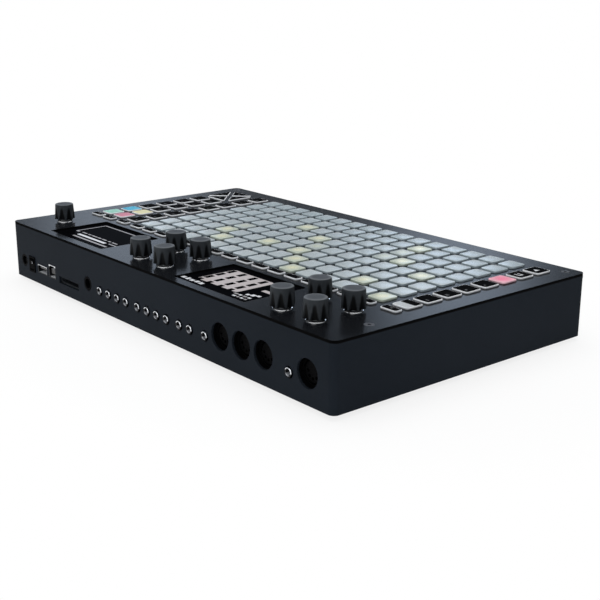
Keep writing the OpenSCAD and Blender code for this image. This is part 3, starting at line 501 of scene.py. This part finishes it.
icon_grey = surface("icon_grey", (0.09, 0.093, 0.1), (0.13, 0.134, 0.142), (0.5, 0.65), 2600.0, 0.006,
                    specular=0.1, cloud=300.0)
icon_white = surface("icon_white", (0.5, 0.51, 0.53), (0.6, 0.61, 0.63), (0.5, 0.65), 2600.0, 0.006,
                     specular=0.1, cloud=300.0)

# Silicones give two tones and, where light comes from under the middle, its colour, grid and strength.
pad_plain = silicone("pad_plain", (0.324, 0.383, 0.412), (0.45, 0.495, 0.505), pad=True)
pad_lit = silicone("pad_lit", (0.44, 0.49, 0.42), (0.5, 0.545, 0.45), (0.66, 0.65, 0.45), col_0, 0.05,
                   pad=True)
pad_faint = silicone("pad_faint", (0.36, 0.41, 0.41), (0.44, 0.485, 0.465), (0.49, 0.52, 0.42), col_0, 0.03,
                     pad=True)
key_white = silicone("key_white", (0.74, 0.76, 0.79), (0.8, 0.81, 0.83))
key_grey = silicone("key_grey", (0.46, 0.49, 0.51), (0.52, 0.54, 0.56))
key_rose = silicone("key_rose", (0.84, 0.52, 0.58), (0.87, 0.57, 0.62))
key_pink = silicone("key_pink", (0.83, 0.35, 0.43), (0.85, 0.4, 0.47), (0.85, 0.17, 0.29), left_x, 0.05)
key_plum = silicone("key_plum", (0.55, 0.19, 0.27), (0.6, 0.23, 0.31))
key_green = silicone("key_green", (0.29, 0.6, 0.5), (0.34, 0.64, 0.55))
key_yellow = silicone("key_yellow", (0.68, 0.64, 0.35), (0.72, 0.68, 0.41))
key_blue = silicone("key_blue", (0.06, 0.4, 0.62), (0.08, 0.44, 0.67))
screen_white = screen_material("screen_white", (0.72, 0.74, 0.78), 0.9)
screen_grey = screen_material("screen_grey", (0.34, 0.33, 0.34), 0.9)
screen_beige = screen_material("screen_beige", (0.5, 0.46, 0.465), 0.95)

finish = {
    "case_tray": case_paint, "top_plate": plate_satin, "plate_screws": screw_black,
    "rubber_feet": foot_rubber, "control_board": board_green, "main_board": board_green,
    "board_spacers": spacer_metal, "keypad_mat": mat_silicone, "display_modules": display_glass,
    "encoder_bodies": encoder_steel, "encoder_nuts": nut_bright, "din_sockets": socket_black,
    "minijack_bodies": socket_black, "minijack_sleeves": sleeve_bright, "pedal_jack": socket_black,
    "dc_inlet": socket_black, "switch_body": switch_black, "power_rocker": switch_black,
    "usb_host_port": port_steel_a, "usb_device_port": port_steel_b, "card_slot": card_steel,
    "left_keys": key_white, "top_keys": key_white, "right_keys": key_white, "arrow_keys": key_white,
}
for k in range(1, ROWS + 1):
    finish["pad_row_%d" % k] = pad_plain
for k in range(1, KNOBS + 1):
    finish["knob_%d" % k] = knob_material(k)
    finish["encoder_shaft_%d" % k] = shaft_steel
    finish["encoder_rotor_%d" % k] = rotor_plastic
for name, material in finish.items():
    mesh = nodes[name].data
    mesh.materials.clear()
    mesh.materials.append(material)


# Helpers for meshes

def round_outline(points, radius, steps=5):
    """Convex outline, counter-clockwise, with its corners rounded."""
    out = []
    count = len(points)
    for i in range(count):
        p = Vector(points[i])
        a = (Vector(points[i - 1]) - p).normalized()
        b = (Vector(points[(i + 1) % count]) - p).normalized()
        half = a.angle(b) / 2
        centre = p + (a + b).normalized() * (radius / math.sin(half))
        start = p + a * (radius / math.tan(half)) - centre
        end = p + b * (radius / math.tan(half)) - centre
        turn = start.angle_signed(end)
        for s in range(steps + 1):
            q = start.copy()
            q.rotate(Matrix.Rotation(-turn * s / steps, 2))
            out.append(centre + q)
    return out


def rect(w, d, radius, steps=5):
    x, y = w / 2, d / 2
    return round_outline([(-x, -y), (x, -y), (x, y), (-x, y)], radius, steps)


def triangle(grow, radius):
    """The outline of one arrow key, pointing away from the middle of the cluster along +Y."""
    half = arrow_w / 2 + grow
    apex = (GAP / 2 - grow) * math.sqrt(2)
    return round_outline([(0, apex), (half - apex, half), (apex - half, half)], radius)


def stack(mesh, loops, slot):
    """A closed solid through loops of points at rising heights."""
    rings = []
    for points, z in loops:
        rings.append([mesh.verts.new((p[0] * MM, p[1] * MM, z * MM)) for p in points])
    count = len(rings[0])
    faces = [mesh.faces.new(rings[0][::-1]), mesh.faces.new(rings[-1])]
    for a, b in zip(rings, rings[1:]):
        for i in range(count):
            j = (i + 1) % count
            faces.append(mesh.faces.new((a[i], a[j], b[j], b[i])))
    for f in faces:
        f.material_index = slot
        f.smooth = True


def revolve(mesh, profile, x, y, z, sides=48):
    """A closed ring: an outline of radius and height turned around a vertical axis."""
    rings = []
    for i in range(sides):
        a = 2 * math.pi * i / sides
        rings.append([mesh.verts.new(((x + r * math.cos(a)) * MM, (y + r * math.sin(a)) * MM, (z + h) * MM))
                      for r, h in profile])
    count = len(profile)
    for i in range(sides):
        a, b = rings[i], rings[(i + 1) % sides]
        for j in range(count):
            k = (j + 1) % count
            f = mesh.faces.new((a[j], b[j], b[k], a[k]))
            f.smooth = True


def placed(points, x, y, turn=0.0):
    m = Matrix.Rotation(turn, 2)
    return [m @ Vector(p) + Vector((x, y)) for p in points]


def cap_levels(steps=4):
    """Insets and heights of a key, from its lip up round its softened top edge."""
    levels = [(-LIP, lip_z), (-LIP, lip_z + LIP_T), (0.0, lip_z + LIP_T), (0.0, key_top - EDGE)]
    for s in range(1, steps + 1):
        a = math.pi / 2 * s / steps
        levels.append((EDGE * (1 - math.cos(a)), key_top - EDGE + EDGE * math.sin(a)))
    return levels


def add_key(mesh, x, y, w, d, slot):
    loops = []
    for inset, z in cap_levels():
        points = rect(w - 2 * inset, d - 2 * inset, CORNER - inset)
        loops.append((placed(points, x, y), z))
    stack(mesh, loops, slot)


def add_arrow(mesh, turn, slot):
    loops = []
    for inset, z in cap_levels():
        points = triangle(-inset, ARROW_CORNER - inset)
        loops.append((placed(points, arrow_x, arrow_y, turn), z))
    stack(mesh, loops, slot)


SHARP_ANGLE = math.radians(40)


def make_piece(name, mesh, materials, body):
    """The mesh as a named object that rides on a body and has a slot."""
    data = bpy.data.meshes.new(name)
    bmesh.ops.recalc_face_normals(mesh, faces=mesh.faces)
    mesh.to_mesh(data)
    mesh.free()
    for m in materials:
        data.materials.append(m)
    data.set_sharp_from_angle(angle=SHARP_ANGLE)
    piece = bpy.data.objects.new(name, data)
    scene.collection.objects.link(piece)
    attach(piece, body)
    return piece


# Pads: each row is one piece. The pattern names lit pads by column and row, both counted from 1.
PLAIN, LIT, FAINT = range(3)
pattern = {spot: FAINT for spot in ((8, 4), (13, 4), (5, 5), (5, 6))}
for spot in ((1, 1), (6, 1), (3, 2), (7, 2), (12, 2), (8, 3), (10, 3), (13, 3),
             (2, 4), (4, 5), (9, 5), (11, 6), (5, 7)):
    pattern[spot] = LIT
for r in range(ROWS):
    mesh = bmesh.new()
    for c in range(COLUMNS):
        add_key(mesh, cols_x[c], rows_y[r], PAD, PAD, pattern.get((c + 1, r + 1), PLAIN))
    name = "pad_row_%d" % (r + 1)
    piece = make_piece(name + "_caps", mesh, [pad_plain, pad_lit, pad_faint], name)
    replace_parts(piece, name)

# Keys: white bodies with black or coloured tops and small marks.
bodies = [key_white, key_rose]
WHITE, ROSE = range(2)
inks = [paint_black, icon_grey, icon_white, key_grey, key_pink, key_green, key_yellow, key_blue, key_plum]
BLACK, MARK_GREY, MARK_WHITE, GREY, PINK, GREEN, YELLOW, BLUE, PLUM = range(9)


def bar(x, y, w, d):
    return [(x - w / 2, y - d / 2), (x + w / 2, y - d / 2), (x + w / 2, y + d / 2), (x - w / 2, y + d / 2)]


def disc(x, y, radius, sides=20):
    turns = [2 * math.pi * i / sides for i in range(sides)]
    return [(x + radius * math.cos(a), y + radius * math.sin(a)) for a in turns]


# Marks, drawn from the middle of a key: for square keys, for the two at the front left, for half keys, and
# for arrow keys.
marks = [
    [bar(-2.2, 2.6, 2.6, 0.8)],
    [bar(-2.9, 2.6, 1.0, 1.0), bar(-1.5, 2.6, 1.0, 1.0)],
    [bar(-2.2, 3.1, 2.4, 0.6), bar(-2.2, 2.0, 2.4, 0.6)],
    [disc(-2.2, 2.6, 0.8)],
    [[(-2.9, 1.8), (-1.4, 2.6), (-2.9, 3.4)]],
]
loop_mark = [bar(0, 2.2, 4.4, 0.8), bar(0, -0.6, 4.4, 0.8), bar(-1.8, 0.8, 0.8, 2.0)]
play_mark = [[(-1.6, -1.4), (1.8, 0.6), (-1.6, 2.6)]]
small_marks = [
    [bar(-0.6, 0, 2.4, 0.6)],
    [disc(0, 0, 0.7)],
    [bar(-0.8, 0, 0.6, 1.4), bar(0.8, 0, 0.6, 1.4)],
    [[(-0.8, -0.8), (0.9, 0.0), (-0.8, 0.8)]],
]
arrow_mark = [(-1.2, 0.0), (1.2, 0.0), (0.0, 1.6)]


def add_paint(mesh, points, ink=BLACK):
    stack(mesh, [(points, key_top - PAINT_SUNK), (points, key_top + PAINT)], ink)


def add_marks(mesh, shapes, x, y, ink=MARK_GREY):
    for shape in shapes:
        points = placed(shape, x, y)
        stack(mesh, [(points, key_top), (points, key_top + MARK)], ink)


def paint_key(mesh, x, y, w, d, ink=BLACK):
    add_paint(mesh, placed(rect(w - 2 * RIM, d - 2 * RIM, CORNER - RIM), x, y), ink)


# Left column: the rear key has two halves, and one key is pink.
SPLIT_ROW, PINK_ROW, LOOP_ROW, PLAY_ROW = 0, 5, 6, 7
SPLIT_CORNER = 0.8
caps, tops = bmesh.new(), bmesh.new()
add_key(caps, left_x, half_y, PAD, HALF_KEY, WHITE)
paint_key(tops, left_x, half_y, PAD, HALF_KEY)
add_marks(tops, small_marks[3], left_x, half_y)
for r, y in enumerate(rows_y):
    add_key(caps, left_x, y, PAD, PAD, ROSE if r == PINK_ROW else WHITE)
    if r == SPLIT_ROW:
        split = (PAD - 2 * RIM) / 2
        half_top = rect(2 * split, split, SPLIT_CORNER)
        add_paint(tops, placed(half_top, left_x, y - split / 2))
        add_paint(tops, placed(half_top, left_x, y + split / 2), GREY)
    else:
        paint_key(tops, left_x, y, PAD, PAD, PINK if r == PINK_ROW else BLACK)
    if SPLIT_ROW < r < PINK_ROW:
        add_marks(tops, marks[r], left_x, y)
add_marks(tops, loop_mark, left_x, rows_y[LOOP_ROW], MARK_WHITE)
add_marks(tops, play_mark, left_x, rows_y[PLAY_ROW], MARK_WHITE)
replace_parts(make_piece("left_key_caps", caps, bodies, "left_keys"), "left_keys")
make_piece("left_key_tops", tops, inks, "left_keys")

# Half keys behind the pads
caps, tops = bmesh.new(), bmesh.new()
for x in cols_x:
    add_key(caps, x, half_y, PAD, HALF_KEY, WHITE)
    paint_key(tops, x, half_y, PAD, HALF_KEY)
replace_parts(make_piece("top_key_caps", caps, bodies, "top_keys"), "top_keys")
make_piece("top_key_tops", tops, inks, "top_keys")

# Right columns: the outer two end behind the arrow keys. Coloured tops by column and row, counted from 0.
coloured = {(1, 0): PLUM, (2, 0): GREEN, (1, 1): YELLOW, (2, 1): BLUE}
caps, tops = bmesh.new(), bmesh.new()
for c, x in enumerate(right_x):
    add_key(caps, x, half_y, PAD, HALF_KEY, WHITE)
    paint_key(tops, x, half_y, PAD, HALF_KEY)
    add_marks(tops, small_marks[c], x, half_y)
    for r, y in enumerate(rows_y):
        if c and r >= ARROW_ROW:
            continue
        ink = coloured.get((c, r), BLACK)
        add_key(caps, x, y, PAD, PAD, WHITE)
        paint_key(tops, x, y, PAD, PAD, ink)
        if ink == BLACK:
            add_marks(tops, marks[(2 * c + r) % len(marks)], x, y)
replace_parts(make_piece("right_key_caps", caps, bodies, "right_keys"), "right_keys")
make_piece("right_key_tops", tops, inks, "right_keys")

# Arrow keys
ARROW_PAINT_CORNER = 0.5
ARROW_MARK_IN = 5.2
caps, tops = bmesh.new(), bmesh.new()
for k in range(4):
    turn = math.pi / 2 * k
    add_arrow(caps, turn, WHITE)
    add_paint(tops, placed(triangle(-RIM, ARROW_PAINT_CORNER), arrow_x, arrow_y, turn))
    mark = placed(arrow_mark, 0, arrow_w / 2 - ARROW_MARK_IN)
    add_marks(tops, [placed(mark, 0, 0, turn)], arrow_x, arrow_y)
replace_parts(make_piece("arrow_key_caps", caps, bodies, "arrow_keys"), "arrow_keys")
make_piece("arrow_key_tops", tops, inks, "arrow_keys")

# Displays: lit blocks and bars just over the glass, placed from the middle of each window.
low, high = box_mm("display_modules")
glass_z = high.z
window_y = (low.y + high.y) / 2
windows = [low.x + CARRIER_RIM + WINDOW_W / 2, high.x - CARRIER_RIM - WINDOW_W / 2]
lights = [screen_white, screen_grey, screen_beige, display_glass]
LIGHT, DIM, BEIGE, OFF = range(4)


def add_light(mesh, middle, x, y, w, d, slot, level=0):
    """A block of light, or a dark one a level higher, with its corners a little rounded."""
    points = placed(rect(w, d, min(w, d) * 0.08, 2), middle + x, window_y + y)
    z = glass_z + PIXEL * level
    stack(mesh, [(points, z), (points, z + PIXEL)], slot)


# Left display: a bright field with dark cells, and rows of short blocks beside and behind it.
screen = bmesh.new()
at = windows[0]
add_light(screen, at, 6.6, -2.6, 39.0, 28.0, BEIGE)
cell_w, cell_d = 3.7, 6.2
for x in (23.6, 13.6, 3.1, -6.7):
    for y in (11.6, 3.8, -4.3, -12.5):
        add_light(screen, at, x, y, cell_w, cell_d, OFF, 1)
for k, (w, d) in enumerate(((3.6, 2.6), (2.6, 3.4), (3.4, 3.4), (3.0, 3.0), (3.6, 3.4))):
    add_light(screen, at, 32.6 - 4.5 * k, 15.6, w, d, LIGHT)
for k, w in enumerate((3.4, 2.4, 3.0, 2.6)):
    add_light(screen, at, -14.6 - 4.0 * k, 12.6, w, 1.6, LIGHT if k % 2 else DIM)
    add_light(screen, at, -17.0 - 3.4 * k, 15.8, 0.8 * w, 1.5, DIM if k % 2 else LIGHT)
for k, (w, d) in enumerate(((2.6, 2.2), (3.2, 3.0), (2.8, 2.2))):
    add_light(screen, at, -20.6 - 3.4 * k, 9.0 - 1.2 * k, w, d, LIGHT)
add_light(screen, at, -26.0, -2.2, 12.0, 3.2, BEIGE)
make_piece("screen_left", screen, lights, "chassis")

# Right display: two lines of a frame, two long bars, and rows of short ones.
screen = bmesh.new()
at = windows[1]
add_light(screen, at, 27.0, -6.2, 1.1, 22.0, DIM)
add_light(screen, at, 0.0, -17.2, 54.0, 1.1, DIM)
add_light(screen, at, -5.5, 14.2, 44.0, 1.7, DIM)
add_light(screen, at, -0.5, 9.7, 36.0, 2.4, LIGHT)
for k, w in enumerate((6.0, 3.4, 7.0, 4.6, 5.6, 3.0, 6.4)):
    add_light(screen, at, 17.0 - 6.6 * k, 5.0, w, 1.3, DIM)
add_light(screen, at, 25.6, 5.4, 3.6, 1.6, DIM)
for k, w in enumerate((2.6, 3.4, 2.2)):
    add_light(screen, at, -22.6 - 3.6 * k, 8.6, w, 1.4, DIM)
make_piece("screen_right", screen, lights, "chassis")

# Knobs: a bright washer around the foot of each nut, its rim a little coned. The profile is in radius and
# height.
washer_profile = [(4.2, 0.0), (5.42, 0.0), (5.42, 0.06), (5.33, 0.52), (5.24, 0.57), (4.2, 0.57)]
washers = bmesh.new()
for k in range(1, KNOBS + 1):
    low, high = box_mm("knob_%d" % k)
    revolve(washers, washer_profile, (low.x + high.x) / 2, (low.y + high.y) / 2, plate_top)
make_piece("nut_washers", washers, [washer_bright], "chassis")

# Rocker: one small mark on its raised half, drawn flat and then laid on the tilted face.
MARK_W, MARK_H, MARK_CORNER = 0.7, 1.4, 0.3
MARK_X, MARK_UP = 1.2, 1.7
MARK_SUNK, MARK_PROUD = 0.1, 0.03
low, high = box_mm("switch_body")
switch_x, switch_z = (low.x + high.x) / 2, (low.z + high.z) / 2
pivot_y = rear_y + BEZEL - ROCKER_FACE
mark = bmesh.new()
outline = placed(rect(MARK_W, MARK_H, MARK_CORNER), MARK_X, MARK_UP)
stack(mark, [(outline, -MARK_SUNK), (outline, MARK_PROUD)], 0)
half = ROCKER_TURN / 2
for v in mark.verts:
    x, s, lift = v.co / MM
    y = pivot_y + ROCKER_FACE * math.cos(half) + s * math.sin(ROCKER_TURN) + lift * math.cos(ROCKER_TURN)
    z = switch_z - ROCKER_FACE * math.sin(half) + s * math.cos(ROCKER_TURN) - lift * math.sin(ROCKER_TURN)
    v.co = Vector((switch_x - x, y, z)) * MM
make_piece("rocker_mark", mark, [icon_white], "power_rocker")


# Floor, light and camera. Lengths are in metres from here on.

# Floor: its size, the half axes of an oval around the part, the share of plain white in the middle of the
# oval, and where that share begins to grow and is whole, in multiples of the half axes.
FLOOR_SIZE = 60
SHADOW_X, SHADOW_Y = 0.23, 0.155
SHADOW_SHARE = 0.82
SHADOW_IN, SHADOW_OUT = 0.85, 1.35


def floor_material():
    """Pale matte floor, seen as plain white away from the part and with some of its shadow near it."""
    m, tree, shader = new_material("floor_white")
    shader.inputs["Base Color"].default_value = (0.85, 0.85, 0.85, 1)
    shader.inputs["Roughness"].default_value = 0.9
    path = tree.nodes.new("ShaderNodeLightPath")
    seen = maths(tree, "MAXIMUM", path.outputs["Is Camera Ray"], path.outputs["Is Glossy Ray"])
    seen = maths(tree, "MAXIMUM", seen, path.outputs["Is Transmission Ray"])
    parts = place(tree)
    across = maths(tree, "DIVIDE", parts["X"], SHADOW_X)
    along = maths(tree, "DIVIDE", parts["Y"], SHADOW_Y)
    away = length(tree, across, along)
    share = remap(tree, away, SHADOW_SHARE, 1.0, SHADOW_IN, SHADOW_OUT, True)
    white = tree.nodes.new("ShaderNodeEmission")
    white.inputs["Color"].default_value = (1, 1, 1, 1)
    white.inputs["Strength"].default_value = 1.0
    mixed = tree.nodes.new("ShaderNodeMixShader")
    tree.links.new(maths(tree, "MULTIPLY", seen, share), mixed.inputs["Fac"])
    tree.links.new(shader.outputs["BSDF"], mixed.inputs[1])
    tree.links.new(white.outputs["Emission"], mixed.inputs[2])
    tree.links.new(mixed.outputs["Shader"], tree.nodes["Material Output"].inputs["Surface"])
    return m


bpy.ops.mesh.primitive_plane_add(size=FLOOR_SIZE, location=(0, 0, 0))
floor = bpy.context.object
floor.name = "floor"
floor.data.materials.append(floor_material())

# Sky: white at the horizon, a dark gap, a soft bluish band, and dim from there to overhead. Each stop is the
# height of a direction, from 0 level to 1 straight up, with the level of light there.
HORIZON, HORIZON_COLOUR = 0.08, (1, 1, 1, 1)
OVERHEAD, OVERHEAD_COLOUR = 1.0, (0.12, 0.12, 0.125, 1)
BAND = ((0.115, 0.25), (0.15, 0.06), (0.212, 0.06), (0.232, 0.4), (0.275, 0.47), (0.296, 0.1))
BAND_TINT = (0.67, 0.81, 1.0)

# Soft boxes: turn from +X, lift and reach in degrees, and colour. Each is full within the core, in degrees.
SOFT_BOXES = (
    (-48.7, 17.0, 5.6, (2.1, 2.5, 3.1)),
    (-30.3, 15.0, 6.5, (1.3, 1.52, 1.85)),
    (115.0, 38.0, 34.0, (1.6, 1.6, 1.6)),
)
BOX_CORE = 1.5


def vector_maths(tree, operation):
    node = tree.nodes.new("ShaderNodeVectorMath")
    node.operation = operation
    return node


def sky_band(tree, direction):
    """The colour of the sky by the height of the direction."""
    parts = tree.nodes.new("ShaderNodeSeparateXYZ")
    tree.links.new(direction, parts.inputs["Vector"])
    band = tree.nodes.new("ShaderNodeValToRGB")
    stops = band.color_ramp.elements
    stops[0].position, stops[0].color = HORIZON, HORIZON_COLOUR
    stops[1].position, stops[1].color = OVERHEAD, OVERHEAD_COLOUR
    for height, level in BAND:
        stop = stops.new(height)
        stop.color = (*shade(BAND_TINT, level), 1)
    tree.links.new(parts.outputs["Z"], band.inputs["Fac"])
    return band.outputs["Color"]


def add_soft_box(tree, direction, light, turn, lift, reach, colour):
    """The light with one round soft box added to it."""
    a, b = math.radians(turn), math.radians(lift)
    toward = vector_maths(tree, "DOT_PRODUCT")
    tree.links.new(direction, toward.inputs[0])
    toward.inputs[1].default_value = (math.cos(b) * math.cos(a), math.cos(b) * math.sin(a), math.sin(b))
    outer, core = math.cos(math.radians(reach)), math.cos(math.radians(BOX_CORE))
    glow = remap(tree, toward.outputs["Value"], 0.0, 1.0, outer, core, True)
    tinted = vector_maths(tree, "SCALE")
    tinted.inputs[0].default_value = colour
    tree.links.new(glow, tinted.inputs["Scale"])
    added = vector_maths(tree, "ADD")
    tree.links.new(light, added.inputs[0])
    tree.links.new(tinted.outputs["Vector"], added.inputs[1])
    return added.outputs["Vector"]


world = bpy.data.worlds.new("studio")
scene.world = world
world.use_nodes = True
tree = world.node_tree
direction = tree.nodes.new("ShaderNodeTexCoord").outputs["Generated"]
light = sky_band(tree, direction)
for box in SOFT_BOXES:
    light = add_soft_box(tree, direction, light, *box)
background = tree.nodes["Background"]
tree.links.new(light, background.inputs["Color"])
background.inputs["Strength"].default_value = 1.0

# Lamp: one large soft panel overhead, turned to the part.
LAMP_SIZE = 1.4
LAMP_WATTS = 19.5
LAMP_AT = (0.1, -0.1, 1.3)
lamp_data = bpy.data.lights.new("over", "AREA")
lamp_data.shape = "RECTANGLE"
lamp_data.size, lamp_data.size_y = LAMP_SIZE, LAMP_SIZE
lamp_data.energy = LAMP_WATTS
lamp = bpy.data.objects.new("over", lamp_data)
scene.collection.objects.link(lamp)
lamp.location = LAMP_AT
lamp.rotation_mode = "QUATERNION"
lamp.rotation_quaternion = (-lamp.location).to_track_quat("-Z", "Y")

# Camera: its place, and its axes as solved from the photo's perspective. Lens and sensor are in millimetres.
LENS, SENSOR = 64.244, 36.0
CLIP_NEAR, CLIP_FAR = 0.01, 200
eye = Vector((-0.534887, 0.423383, 0.208713))
right = Vector((-0.641, -0.767535, 0.003083))
down = Vector((-0.222545, 0.18201, -0.957782))
forward = Vector((0.73457, -0.614624, -0.287479))
camera_data = bpy.data.cameras.new("camera")
camera_data.sensor_width = SENSOR
camera_data.lens = LENS
camera_data.clip_start, camera_data.clip_end = CLIP_NEAR, CLIP_FAR
camera = bpy.data.objects.new("camera", camera_data)
scene.collection.objects.link(camera)
camera.matrix_world = Matrix((
    (right.x, -down.x, -forward.x, eye.x),
    (right.y, -down.y, -forward.y, eye.y),
    (right.z, -down.z, -forward.z, eye.z),
    (0, 0, 0, 1),
))
scene.camera = camera
scene.view_settings.view_transform = "Standard"
